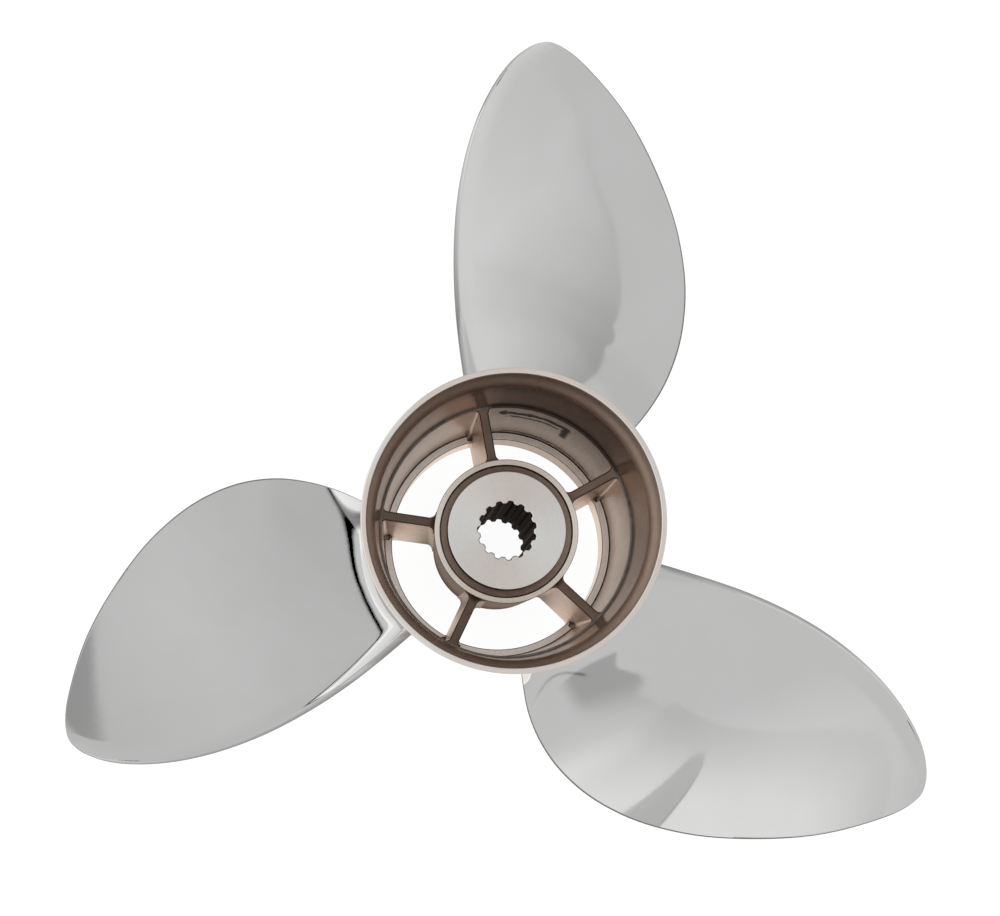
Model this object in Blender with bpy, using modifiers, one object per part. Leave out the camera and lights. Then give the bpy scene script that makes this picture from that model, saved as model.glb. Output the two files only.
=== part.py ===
"""Three-blade outboard motor propeller with a through-hub exhaust barrel, right hand, 351 mm across.

The shaft axis is Z and points aft, away from the engine. Depths along the barrel are counted forward
from its aft rim, as the photograph shows them, and AFT_RIM_Z puts the rim at its height in the frame.
"""
import math

import bmesh
import bpy
import numpy as np
from mathutils import Matrix

GAP = 0.0003                  # left between pieces that touch on the real propeller

# Height of the aft rim in the frame: the origin is the centre of mass, on the shaft axis
AFT_RIM_Z = 0.0681

# Barrel and diffuser ring
BARREL_LENGTH = 0.130
NOSE_OUTER_R = 0.0456
RIM_OUTER_R = 0.0549
RIM_INNER_R = 0.0529
RING_DEPTH = 0.0138           # the step where the diffuser ring ends and the barrel begins
STEP_INNER_R = 0.0493
LEDGE_DEPTH = 0.0494          # the ledge where the struts begin
LEDGE_INNER_R = 0.0461
COLLAR_DEPTH = 0.1100         # the thicker collar at the gearcase end begins here
COLLAR_WALL_R = 0.0436
COLLAR_BORE_R = 0.04075

# Inner hub, rubber bush and splined sleeve
HUB_DEPTH = 0.0485
HUB_END_DEPTH = 0.1285
HUB_OUTER_R = 0.02675
HUB_INNER_R = 0.0246
HUB_END_OUTER_R = 0.0242
HUB_END_INNER_R = 0.0218
FLANGE_DEPTH = 0.0446
FLANGE_THICKNESS = 0.0040
FLANGE_R = 0.0219
SLEEVE_R = 0.0142
SLEEVE_END_DEPTH = 0.1290
SPLINE_TIP_R = 0.00983        # inner ends of the teeth
SPLINE_ROOT_R = 0.01086       # bottoms of the grooves
SPLINE_TEETH = 15
SPLINE_ANGLE = 10.0           # direction of one groove, degrees
SEAT_R = 0.0116               # mouth of the thrust washer's cone at the forward end
SEAT_DEPTH = 0.1190
BUSH_DEPTH = 0.0500
BUSH_END_DEPTH = 0.1260

# Struts between the inner hub and the barrel
STRUT_COUNT = 5
STRUT_ANGLE = 28.3            # direction of the first, degrees
STRUT_DEPTH = 0.0502
STRUT_HUB_DEPTH = 0.0530
STRUT_END_DEPTH = 0.1240
STRUT_WAIST = 0.0034
STRUT_END_WAIST = 0.0052
STRUT_HUB_FILLET = 0.0024     # where its sides run into the hub
STRUT_WALL_FILLET = 0.0016    # and into the barrel
FILLET_STEPS = np.array([0.0, 0.12, 0.4, 1.0])

# Blades: the aft face is a helicoid with rake, the outline is given as (radius, angle from the blade axis)
BLADE_COUNT = 3
BLADE_ANGLE = 90.0
PITCH_PER_RADIAN = 0.0768     # 483 mm for a whole turn
RAKE_RADIUS = 0.107
RAKE_DEPTH = 0.0233
RAKE_SLOPE = 0.60
RAKE_CURVE = 4.09             # per metre, bends the tip back towards the disc
RAKE_EASE_RADIUS = 0.083      # inside this radius the rake eases off towards the barrel
RAKE_EASE = 10.9
TIP_R = 0.1756
TIP_ANGLE = -4.4
TIP_FLAT = 0.00015            # the outermost section lies this far inside the tip
LEADING_EDGE = [(0.044, -48.8), (0.065, -50.0), (0.083, -47.7), (0.098, -43.6), (0.113, -37.8), (0.128, -30.7),
                (0.143, -23.0), (0.158, -15.6), (0.168, -10.2), (0.1719, -8.0), (0.1746, -6.0), (0.1754, -5.0),
                (TIP_R, TIP_ANGLE)]
TRAILING_EDGE = [(0.044, 15.5), (0.065, 14.6), (0.083, 13.5), (0.098, 12.1), (0.113, 10.4), (0.128, 8.3),
                 (0.143, 5.8), (0.158, 2.7), (0.168, 0.0), (0.1707, -1.0), (0.1730, -2.0), (0.1746, -3.0),
                 (TIP_R, TIP_ANGLE)]
ROOT_RADIUS = 0.050
ROOT_THICKNESS = 0.0095
TIP_THICKNESS = 0.0026
EDGE_ROOT_THICKNESS = 0.0036  # the squared trailing edge
EDGE_TIP_THICKNESS = 0.0018
NOSE_THICKNESS = 0.0009       # the leading edge
SHORT_CHORD = 0.012           # sections shorter than this grow thinner towards the tip
CUP_HEIGHT = 0.0012           # the trailing edge curls up by this much
CUP_WIDTH = 0.0090
FILLET = 0.0080               # where the blade grows out of the barrel, at the middle of its sides
EDGE_FILLET = 0.0025          # and at its two edges
ROOT_BLEND = 0.028            # sections follow the barrel's wall at the root and are round from this height on
SPAN_STATIONS = 20
FILLET_STATIONS = 5
CHORD_STATIONS = 17

BARREL_STEPS = 60
HUB_STEPS = 48

for old in list(bpy.data.objects):
    bpy.data.objects.remove(old, do_unlink=True)


def new_collection(name):
    collection = bpy.data.collections.new(name)
    bpy.context.scene.collection.children.link(collection)
    return collection


propeller = new_collection("propeller")
cutters = new_collection("cutters")


def new_material(name, colour, roughness, metallic):
    material = bpy.data.materials.new(name)
    material.use_nodes = True
    shader = material.node_tree.nodes["Principled BSDF"]
    shader.inputs["Base Color"].default_value = (*colour, 1.0)
    shader.inputs["Roughness"].default_value = roughness
    shader.inputs["Metallic"].default_value = metallic
    return material


def new_object(name, mesh, material, collection=propeller):
    part = bpy.data.objects.new(name, mesh)
    part.data.materials.append(material)
    collection.objects.link(part)
    return part


def turned(name, profile, steps, material):
    """Turn a closed profile of (radius, depth from the aft rim) about the shaft axis."""
    mesh = bpy.data.meshes.new(name)
    points = [(radius, 0.0, AFT_RIM_Z - depth) for radius, depth in profile]
    edges = [(i, (i + 1) % len(points)) for i in range(len(points))]
    mesh.from_pydata(points, edges, [])
    part = new_object(name, mesh, material)
    screw = part.modifiers.new("turn", "SCREW")
    screw.steps = steps
    screw.render_steps = steps
    screw.use_merge_vertices = True
    screw.merge_threshold = 0.00001
    screw.use_smooth_shade = True
    return part


def barrel_radius(depth):
    """Outside of the barrel: the nose's radius plus a flare that grows with the square of the way aft."""
    return NOSE_OUTER_R + (RIM_OUTER_R - NOSE_OUTER_R) * (1 - np.clip(depth / BARREL_LENGTH, 0.0, 1.0)) ** 2


def hub_radius(depth):
    """Outside of the inner hub, which narrows towards the gearcase end."""
    return np.interp(depth, [HUB_DEPTH, HUB_END_DEPTH], [HUB_OUTER_R, HUB_END_OUTER_R])


def diffuser_ring():
    outside = [(barrel_radius(depth), depth) for depth in np.linspace(0.0, RING_DEPTH - GAP, 4)]
    turned("diffuser_ring", outside + [
        (STEP_INNER_R, RING_DEPTH - GAP),
        (RIM_INNER_R, 0.0),
    ], BARREL_STEPS, rim_steel)


def exhaust_barrel():
    outside = [(barrel_radius(depth), depth) for depth in np.linspace(RING_DEPTH, BARREL_LENGTH, 8)]
    turned("exhaust_barrel", outside + [
        (COLLAR_BORE_R, BARREL_LENGTH),
        (COLLAR_BORE_R, COLLAR_DEPTH),
        (COLLAR_WALL_R, COLLAR_DEPTH),
        (LEDGE_INNER_R, LEDGE_DEPTH),
        (LEDGE_INNER_R + 0.0006, LEDGE_DEPTH),
        (STEP_INNER_R, RING_DEPTH),
    ], BARREL_STEPS, cast_steel)


def inner_hub():
    turned("inner_hub", [
        (HUB_OUTER_R, HUB_DEPTH),
        (HUB_END_OUTER_R, HUB_END_DEPTH),
        (HUB_END_INNER_R, HUB_END_DEPTH),
        (HUB_INNER_R, HUB_DEPTH),
    ], HUB_STEPS, hub_steel)


def rubber_bush():
    bore = SLEEVE_R + GAP
    taper = (HUB_INNER_R - HUB_END_INNER_R) / (HUB_END_DEPTH - HUB_DEPTH)
    aft = HUB_INNER_R - taper * (BUSH_DEPTH - HUB_DEPTH) - GAP
    forward = HUB_INNER_R - taper * (BUSH_END_DEPTH - HUB_DEPTH) - GAP
    turned("rubber_bush", [
        (aft, BUSH_DEPTH),
        (forward, BUSH_END_DEPTH),
        (bore, BUSH_END_DEPTH),
        (bore, BUSH_DEPTH),
    ], HUB_STEPS, rubber)


def spline_outline():
    """Star of the shaft's fifteen teeth: each has a flat root, two flanks and a flat tip."""
    points = []
    for tooth in range(SPLINE_TEETH):
        centre = SPLINE_ANGLE + tooth * 360.0 / SPLINE_TEETH
        for offset, radius in ((-7.5, SPLINE_TIP_R - 0.0002), (-4.0, SPLINE_ROOT_R),
                               (4.0, SPLINE_ROOT_R), (7.5, SPLINE_TIP_R - 0.0002)):
            angle = math.radians(centre + offset)
            points.append((radius * math.cos(angle), radius * math.sin(angle)))
    return points


def splined_sleeve():
    sleeve = turned("splined_sleeve", [
        (FLANGE_R, FLANGE_DEPTH),
        (FLANGE_R, FLANGE_DEPTH + FLANGE_THICKNESS),
        (SLEEVE_R, FLANGE_DEPTH + FLANGE_THICKNESS),
        (SLEEVE_R, SLEEVE_END_DEPTH),
        (SEAT_R, SLEEVE_END_DEPTH),
        (SPLINE_TIP_R, SEAT_DEPTH),
        (SPLINE_TIP_R, FLANGE_DEPTH),
    ], HUB_STEPS, turned_steel)

    outline = bpy.data.curves.new("spline_cutter", "CURVE")
    outline.dimensions = "2D"
    outline.fill_mode = "BOTH"
    outline.extrude = BARREL_LENGTH / 2
    points = spline_outline()
    path = outline.splines.new("POLY")
    path.points.add(len(points) - 1)
    for point, (x, y) in zip(path.points, points):
        point.co = (x, y, 0.0, 1.0)
    path.use_cyclic_u = True
    cutter = bpy.data.objects.new("spline_cutter", outline)
    cutter.location.z = AFT_RIM_Z - (FLANGE_DEPTH + SLEEVE_END_DEPTH) / 2
    cutter.display_type = "WIRE"
    cutter.hide_render = True
    cutters.objects.link(cutter)
    bpy.context.view_layer.update()

    # A curve can't cut, so the cutter is kept as the mesh of that curve
    solid = bpy.data.meshes.new_from_object(cutter.evaluated_get(bpy.context.evaluated_depsgraph_get()))
    place = cutter.matrix_world.copy()
    bpy.data.objects.remove(cutter, do_unlink=True)
    cutter = bpy.data.objects.new("spline_cutter", solid)
    cutter.matrix_world = place
    cutter.display_type = "WIRE"
    cutter.hide_render = True
    cutters.objects.link(cutter)

    cut = sleeve.modifiers.new("splines", "BOOLEAN")
    cut.operation = "DIFFERENCE"
    cut.solver = "EXACT"
    cut.object = cutter


def lofted(name, rings, material, inner=None):
    """Skin a row of rings, each one side out and the other side back. Strips from side to side close both ends. At
    the first end, inner may hold rows of points between the sides, one row for each station but the outermost two."""
    rings = np.asarray(rings)
    count, size = rings.shape[:2]
    half = size // 2
    points = rings.reshape(-1, 3)
    start = np.arange(size)
    turn = (start + 1) % size
    faces = [(k * size + a, k * size + b, (k + 1) * size + b, (k + 1) * size + a)
             for k in range(count - 1) for a, b in zip(start, turn)]

    for first, rows in ((0, inner), ((count - 1) * size, None)):
        across = 0 if rows is None else rows.shape[1]
        middle = (across + 2) // 2
        grid = np.empty((half, across + 2), int)
        grid[:, :middle] = first + start[:half, None]
        grid[:, middle:] = first + size - 1 - start[:half, None]
        if across:
            grid[1:-1, 1:-1] = len(points) + np.arange((half - 2) * across).reshape(half - 2, across)
            points = np.vstack([points, rows.reshape(-1, 3)])
        for i in range(half - 1):
            for j in range(across + 1):
                corners = (grid[i, j], grid[i + 1, j], grid[i + 1, j + 1], grid[i, j + 1])
                corners = tuple(int(corner) for corner in dict.fromkeys(corners))
                if len(corners) > 2:
                    faces.append(corners)

    mesh = bpy.data.meshes.new(name)
    mesh.from_pydata(points.tolist(), [], faces)
    bm = bmesh.new()
    bm.from_mesh(mesh)
    bmesh.ops.recalc_face_normals(bm, faces=bm.faces)
    bm.to_mesh(mesh)
    bm.free()
    return new_object(name, mesh, material)


def fillet_width(distance, size):
    """What a round fillet adds to a web's half width at a distance from the wall that it grows out of."""
    left = np.clip(size - distance, 0.0, size)
    return size - np.sqrt(size ** 2 - left ** 2)


def strut(number):
    """A web on end with a fillet at the hub and one at the barrel. It steps in where the collar begins."""
    rings = []
    for station, wall in ((STRUT_DEPTH, LEDGE_INNER_R), (COLLAR_DEPTH - 0.0030, COLLAR_WALL_R),
                          (COLLAR_DEPTH - GAP, COLLAR_BORE_R), (STRUT_END_DEPTH, COLLAR_BORE_R)):
        along = (station - STRUT_DEPTH) / (STRUT_END_DEPTH - STRUT_DEPTH)
        waist = (STRUT_WAIST + (STRUT_END_WAIST - STRUT_WAIST) * along) / 2
        hub_depth = STRUT_HUB_DEPTH + (STRUT_END_DEPTH - STRUT_HUB_DEPTH) * along
        near = hub_radius(hub_depth) + GAP
        far = math.sqrt((wall - GAP) ** 2 - (waist + STRUT_WALL_FILLET) ** 2)
        x = np.concatenate([near + STRUT_HUB_FILLET * FILLET_STEPS, far - STRUT_WALL_FILLET * FILLET_STEPS[::-1]])
        half_width = waist + fillet_width(x - near, STRUT_HUB_FILLET) + fillet_width(far - x, STRUT_WALL_FILLET)
        z = AFT_RIM_Z - hub_depth - (station - hub_depth) * (x - near) / (far - near)
        right = np.column_stack([x, half_width, z])
        left = np.column_stack([x, -half_width, z])[::-1]
        rings.append(np.vstack([right, left]))
    part = lofted(f"strut_{number}", rings, cast_steel)
    turn = math.radians(STRUT_ANGLE + (number - 1) * 360.0 / STRUT_COUNT)
    part.matrix_world = Matrix.Rotation(turn, 4, "Z")


def edge_angle(edge, radius):
    """Angle of an edge at a radius: a cubic between its stations, with the slopes of their neighbours. It is worked
    out against the square root of the distance from the tip, so that the tip comes out round."""
    radii, angles = map(np.array, zip(*edge[::-1]))
    stations = np.sqrt(TIP_R - radii)
    slopes = np.gradient(angles, stations)
    place = np.sqrt(np.clip(TIP_R - radius, 0.0, TIP_R - radii[-1]))
    i = np.clip(np.searchsorted(stations, place) - 1, 0, len(stations) - 2)
    width = stations[i + 1] - stations[i]
    t = (place - stations[i]) / width
    return np.radians(angles[i] * (2 * t ** 3 - 3 * t ** 2 + 1) + angles[i + 1] * (3 * t ** 2 - 2 * t ** 3)
                      + slopes[i] * width * (t ** 3 - 2 * t ** 2 + t) + slopes[i + 1] * width * (t ** 3 - t ** 2))


def blade_face(radius, angle):
    """Point of the aft face: a helicoid whose generator leans aft and bends back at the tip."""
    reach = radius - RAKE_RADIUS
    ease = np.maximum(RAKE_EASE_RADIUS - radius, 0.0)
    rake = RAKE_SLOPE * reach - RAKE_CURVE * reach ** 2 + RAKE_EASE * ease ** 2
    height = AFT_RIM_Z - RAKE_DEPTH + rake + PITCH_PER_RADIAN * angle
    return np.stack([radius * np.cos(angle), radius * np.sin(angle), height], axis=-1)


def blade_normal(radius, angle):
    step = 1e-5
    along = blade_face(radius + step, angle) - blade_face(radius - step, angle)
    around = blade_face(radius, angle + step) - blade_face(radius, angle - step)
    normal = np.cross(along, around)
    return normal / np.linalg.norm(normal, axis=-1, keepdims=True)


def blade_section(radius, share, back):
    """Section in its own plane, as metres along the chord from the leading edge and across it: a wedge that swells
    behind the leading edge, curls up a little at the trailing edge and ends there in a square edge."""
    lead = edge_angle(LEADING_EDGE, radius)
    turn = edge_angle(TRAILING_EDGE, radius) - lead
    chord = turn * np.hypot(radius, PITCH_PER_RADIAN)
    short = np.minimum(1.0, chord / SHORT_CHORD)
    out = np.clip((radius - ROOT_RADIUS) / (TIP_R - ROOT_RADIUS), 0.0, 1.0)
    middle = ROOT_THICKNESS + (TIP_THICKNESS - ROOT_THICKNESS) * out ** 0.8
    trailing = EDGE_ROOT_THICKNESS + (EDGE_TIP_THICKNESS - EDGE_ROOT_THICKNESS) * out
    base = NOSE_THICKNESS + (trailing - NOSE_THICKNESS) * share
    thickness = base + (middle - (NOSE_THICKNESS + trailing) / 2) * 4 * share * (1 - share)
    from_edge = (1 - share) * chord / np.minimum(CUP_WIDTH, chord / 2)
    cup = CUP_HEIGHT * short * np.clip(1 - from_edge, 0.0, 1.0) ** 2
    return lead, share * chord, cup - back * thickness * np.sqrt(short)


def blade_rings():
    """Rings of a blade on +X, root first. At the root a ring grows outwards by F (1 - sin a) at the height
    F (1 - cos a) over the barrel, a round fillet of radius F. The first ring lies on the barrel, a gap away."""
    share = (1 - np.cos(np.linspace(0.0, math.pi, CHORD_STATIONS))) / 2
    share = np.concatenate([share, share[::-1]])
    back = np.repeat([0.0, 1.0], CHORD_STATIONS)

    _, along, across = blade_section(np.full(len(share), ROOT_RADIUS + FILLET), share, back)
    step_along = np.roll(along, -1) - np.roll(along, 1)
    step_across = np.roll(across, -1) - np.roll(across, 1)
    step = np.hypot(step_along, step_across)
    outward_along, outward_across = -step_across / step, step_along / step

    fillet = EDGE_FILLET + (FILLET - EDGE_FILLET) * np.sqrt(4 * share * (1 - share))
    arc = np.linspace(0.0, math.pi / 2, FILLET_STATIONS)[:, None]
    out = 1 - (1 - np.linspace(0.0, 1.0, SPAN_STATIONS)[1:, None]) ** 2
    height = np.vstack([fillet * (1 - np.cos(arc)), fillet + (TIP_R - TIP_FLAT - ROOT_RADIUS - fillet) * out])
    grow = np.vstack([fillet * (1 - np.sin(arc)), np.zeros((len(out), len(share)))])

    level = np.clip(height / ROOT_BLEND, 0.0, 1.0)
    level = level * level * (3 - 2 * level)
    radius = ROOT_RADIUS + height
    for _ in range(30):
        lead, along, across = blade_section(radius, share, back)
        angle = lead + (along + grow * outward_along) / np.hypot(radius, PITCH_PER_RADIAN)
        normal = blade_normal(radius, angle)
        rings = blade_face(radius, angle) + normal * (across + grow * outward_across)[..., None]
        wall = barrel_radius(AFT_RIM_Z - rings[..., 2]) + GAP + 0.0001
        miss = wall + height - np.hypot(rings[..., 0], rings[..., 1])
        radius = radius + 0.7 * (miss * (1 - level) + (ROOT_RADIUS + height - radius) * level)
    return rings


def root_rows(ring, across=4):
    """Rows of points between the two sides of the root's ring, on the barrel's wall and a gap away from it."""
    half = len(ring) // 2
    face, back = ring[:half], ring[half:][::-1]
    share = np.arange(1, across + 1)[None, :, None] / (across + 1)
    rows = (face[:, None] + (back - face)[:, None] * share)[1:-1]
    wall = barrel_radius(AFT_RIM_Z - rows[..., 2]) + GAP + 0.0001
    rows[..., :2] *= (wall / np.hypot(rows[..., 0], rows[..., 1]))[..., None]
    return rows


def blade(number, rings):
    part = lofted(f"blade_{number}", rings, blade_steel, root_rows(rings[0]))
    part.data.shade_smooth()
    turn = math.radians(BLADE_ANGLE + (number - 1) * 360.0 / BLADE_COUNT)
    part.matrix_world = Matrix.Rotation(turn, 4, "Z")


blade_steel = new_material("polished_steel", (0.62, 0.62, 0.61), 0.12, 1.0)
rim_steel = new_material("rim_steel", (0.62, 0.56, 0.52), 0.22, 1.0)
cast_steel = new_material("cast_steel", (0.40, 0.33, 0.29), 0.38, 1.0)
hub_steel = new_material("hub_steel", (0.56, 0.51, 0.47), 0.30, 1.0)
turned_steel = new_material("turned_steel", (0.60, 0.57, 0.54), 0.28, 1.0)
rubber = new_material("rubber", (0.16, 0.12, 0.10), 0.75, 0.0)

diffuser_ring()
exhaust_barrel()
inner_hub()
rubber_bush()
splined_sleeve()
for k in range(STRUT_COUNT):
    strut(k + 1)
rings = blade_rings()
for k in range(BLADE_COUNT):
    blade(k + 1, rings)
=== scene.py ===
"""Looks of a three-blade outboard propeller: polished blades, a brown exhaust barrel and a splined hub.

Depths are counted forward from the aft rim, as in the part's source. New pieces are numpy surfaces, in metres;
materials count in millimetres and degrees.
"""
import math

import bpy
import numpy as np
from mathutils import Matrix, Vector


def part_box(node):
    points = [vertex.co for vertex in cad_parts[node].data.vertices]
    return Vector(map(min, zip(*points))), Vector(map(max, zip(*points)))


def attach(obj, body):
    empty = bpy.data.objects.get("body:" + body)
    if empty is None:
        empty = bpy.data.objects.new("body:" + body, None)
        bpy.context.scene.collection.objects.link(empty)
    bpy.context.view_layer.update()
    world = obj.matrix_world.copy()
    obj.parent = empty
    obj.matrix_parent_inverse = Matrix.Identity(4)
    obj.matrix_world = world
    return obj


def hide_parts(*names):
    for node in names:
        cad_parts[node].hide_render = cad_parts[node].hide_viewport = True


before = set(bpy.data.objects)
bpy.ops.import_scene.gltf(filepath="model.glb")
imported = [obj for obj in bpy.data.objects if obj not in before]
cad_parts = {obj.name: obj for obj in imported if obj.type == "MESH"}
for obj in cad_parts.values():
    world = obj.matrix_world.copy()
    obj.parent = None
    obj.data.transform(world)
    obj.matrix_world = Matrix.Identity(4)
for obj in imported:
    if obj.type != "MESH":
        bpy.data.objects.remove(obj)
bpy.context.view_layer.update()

# Places read from the frame
RIM_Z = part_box("diffuser_ring")[1].z
FLOOR_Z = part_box("exhaust_barrel")[0].z
RIM_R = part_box("diffuser_ring")[1].x
BARREL_LENGTH = RIM_Z - FLOOR_Z
HUB_DEPTH = RIM_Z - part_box("inner_hub")[1].z
HUB_END_DEPTH = RIM_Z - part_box("inner_hub")[0].z
HUB_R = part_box("inner_hub")[1].x
FLANGE_DEPTH = RIM_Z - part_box("splined_sleeve")[1].z
SLEEVE_END_DEPTH = RIM_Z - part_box("splined_sleeve")[0].z
FLANGE_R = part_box("splined_sleeve")[1].x
BUSH_DEPTH = RIM_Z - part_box("rubber_bush")[1].z
BUSH_END_DEPTH = RIM_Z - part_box("rubber_bush")[0].z

MM = 1000.0                   # millimetres in a metre

# Roundings of edges and corners, from the sharpest
CORNER = 0.0002
FINE_EDGE = 0.0003
EDGE = 0.0004
SOFT_EDGE = 0.0006
ROUND_EDGE = 0.0008

# Barrel, as in the part's source
NOSE_R = 0.0456
RIM_INNER_R = 0.0529
STEP_DEPTH = 0.0138
STEP_INNER_R = 0.0493
LEDGE_DEPTH = 0.0494
LEDGE_INNER_R = 0.0461
LEDGE_WIDTH = 0.0008
COLLAR_DEPTH = 0.1100
COLLAR_WALL_R = 0.0436
COLLAR_BORE_R = 0.04075
RING_END_DEPTH = STEP_DEPTH - 0.0003     # the ring ends and the barrel's wall goes on
RIM_ROUNDING = 0.00045
RIM_FIT = 0.00002             # keeps the rim within the part's box
NOSE_EDGE = 0.0005
STRAIGHT_TAPER = 0.25         # share of the ring's inner taper that is straight
TAPER_POWER = 1.7
COLLAR_BLEND_AFT = 0.0008     # where the webs' ends start to step in to the collar, aft of its shelf
COLLAR_BLEND_FORWARD = 0.0002

# Hub, bush and sleeve
HUB_INNER_R = 0.0246
HUB_END_R = 0.0242
HUB_END_INNER_R = 0.0218
HUB_END_EDGE = 0.0005
BUSH_GAP = 0.0001
FLANGE_THICKNESS = 0.0040
SLEEVE_R = 0.0142
SPLINE_TIP_R = 0.00983
SPLINE_ROOT_R = 0.01086
SPLINE_TEETH = 15
SPLINE_ANGLE = 10.0
SEAT_R = 0.0116
SEAT_DEPTH = 0.1190
SEAT_RUN = 0.0040             # from the seat to the first full spline
BORE_BEVEL = 0.0005
SEAT_STEP = 0.0001            # how much wider the seat's end is than the splines' roots
FACE_CROWDING = 1.3           # over 1 pulls the flange's points towards the bore
TOOTH_STEPS = 28
TOOTH_WIDTH = 1.25 / 0.9      # the wave's height before it is cut flat

# Struts
STRUT_COUNT = 5
STRUT_ANGLE = 28.3
STRUT_HUB_DEPTH = 0.0530
STRUT_END_DEPTH = 0.1240
STRUT_WAIST = 0.0034
STRUT_DRAFT = 0.0018          # how much thicker it is at its forward end
STRUT_HUB_FILLET = 0.0024
STRUT_WALL_FILLET = 0.0016
STRUT_EDGE = 0.0006
STRUT_FACE_INSET = 1.6        # the end faces' middle row stands in by so many roundings
STRUT_HUB_SINK = 0.0010       # how deep the ends run into the hub and the barrel
STRUT_WALL_SINK = 0.0008
STRUT_WALL_DEPTH = LEDGE_DEPTH + 0.0008  # of its aft edge where it meets the barrel
WEB_SLOPE = 0.145             # how much further aft its aft edge is for each millimetre outwards

# Blades
BLADE_ANGLES = [89.5, 210.2, 330.3]
PITCH_PER_RADIAN = 0.0768
RAKE_RADIUS = 0.107
RAKE_DEPTH = 0.0233
RAKE_SLOPE = 0.60
RAKE_CURVE = 4.09
RAKE_EASE_RADIUS = 0.083      # inside this radius the rake eases off towards the barrel
RAKE_EASE = 10.9
TIP_R = 0.1756
TIP_ANGLE = -4.4
LEADING_EDGE = [(0.044, -48.8), (0.065, -50.0), (0.083, -47.7), (0.098, -43.6), (0.113, -37.8), (0.128, -30.7),
                (0.143, -23.0), (0.158, -15.6), (0.168, -10.2), (0.1719, -8.0), (0.1746, -6.0), (0.1754, -5.0),
                (TIP_R, TIP_ANGLE)]
TRAILING_EDGE = [(0.044, 15.5), (0.065, 14.6), (0.083, 13.5), (0.098, 12.1), (0.113, 10.4), (0.128, 8.3),
                 (0.143, 5.8), (0.158, 2.7), (0.168, 0.0), (0.1707, -1.0), (0.1730, -2.0), (0.1746, -3.0),
                 (TIP_R, TIP_ANGLE)]
ROOT_THICKNESS = 0.0095
TIP_THICKNESS = 0.0026
EDGE_ROOT_THICKNESS = 0.0036
EDGE_TIP_THICKNESS = 0.0018
NOSE_THICKNESS = 0.0009
CUP_HEIGHT = 0.0012
CUP_WIDTH = 0.0090
FILLET = 0.0080               # at the middle of the blade's sides
EDGE_FILLET = 0.0025          # at its two edges
ROOT_SINK = 0.0006            # how deep the blade's root runs into the barrel's wall
SHALLOW_SINK = 0.00035        # and its second row
FOOT_SINK = 0.00003           # and the foot of its fillet
ROOT_R = 0.050                # heights over the barrel are counted from here once the rows have left its wall
ROOT_BLEND = 0.028            # the height by which they have
TAPER_START_R = 0.052         # thickness tapers from here to the tip
FILLET_R = 0.056              # the fillet grows at right angles to the section at this radius
TIP_GAP = 0.00001
SHORT_CHORD = 0.012           # under this length a section's thickness, nose and cup shrink with it
NOSE_LENGTH = 0.9             # as a share of the nose's thickness
TAIL_LENGTH = 0.3             # as a share of the edge's thickness at the tip
TAIL_DROP = 0.3               # how much thinner the trailing edge's corner is
THICKNESS_POWER = 0.8
EDGE_SHADE_TAIL = 0.7             # how dark the painted edge shade is at the back of the trailing edge
NOSE_COLUMNS, FACE_COLUMNS, TAIL_COLUMNS = 10, 54, 8
CROWDING = 0.08               # pulls the face's columns towards its two edges
ARC_ROWS, BLADE_ROWS, CLOSING_ROWS = 15, 120, 8
WALL_PASSES = 14
WALL_STEP = 0.8

# Studio
MIRROR = (0.84, 0.84, 0.835)
WALL_LIGHT = 0.74
FLOOR_SIZE = 6.0
FLOOR_GLOW = 0.96
DOME_R = 4.0
DOME_START, DOME_STOP = -0.02, math.pi / 2 - 0.01    # elevations of its two ends, in radians
STUDIO_STEPS = 96
STUDIO_TURN = 55              # degrees
TABLE_START_R = 0.052
TABLE_HEIGHT = 0.0008
WELL_START_R, WELL_R = 0.001, 0.0515
WELL_HEIGHT = 0.0004

# Camera, found from the photograph's circles and blade outlines: 3517 pixels of focal length at 1000 wide
CAMERA_X, CAMERA_Y = -0.0754, -0.1063
CAMERA_HEIGHT = 1.2460        # over the aft rim
CAMERA_TILT, CAMERA_SWING = 5.889, -3.219    # degrees about X, then about its own Y
SENSOR_WIDTH = 36.0
LENS = 126.6


# Meshes from grids of points


def grid_mesh(name, points, wrap_rows=False, wrap_columns=True, caps=()):
    """Mesh of a grid of points (rows, columns, 3), wrapped where asked. Each cap closes one end of a tube:
    "strip" joins the two halves of its ring, and "fan" closes it on its middle point."""
    rows, columns = points.shape[:2]
    index = np.arange(rows * columns).reshape(rows, columns)
    down = np.roll(index, -1, axis=0) if wrap_rows else index[1:]
    here = index if wrap_rows else index[:-1]
    right = np.roll(here, -1, axis=1)
    down_right = np.roll(down, -1, axis=1)
    if not wrap_columns:
        here, right, down, down_right = here[:, :-1], right[:, :-1], down[:, :-1], down_right[:, :-1]
    faces = np.stack([here, right, down_right, down], axis=-1).reshape(-1, 4).tolist()
    vertices = points.reshape(-1, 3).tolist()
    for end, kind in caps:
        ring = index[end] if end else index[0][::-1]
        if kind == "strip":
            for i in range((columns - 1) // 2):
                corners = (ring[i], ring[i + 1], ring[columns - 2 - i], ring[columns - 1 - i])
                faces.append([int(corner) for corner in dict.fromkeys(corners)])
        else:
            vertices.append(points[end].mean(axis=0).tolist())
            centre = len(vertices) - 1
            faces += [[int(a), int(b), centre] for a, b in zip(ring, np.roll(ring, -1))]
    mesh = bpy.data.meshes.new(name)
    mesh.from_pydata(vertices, [], faces)
    mesh.update()
    mesh.shade_smooth()
    piece = bpy.data.objects.new(name, mesh)
    bpy.context.scene.collection.objects.link(piece)
    return piece


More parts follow.
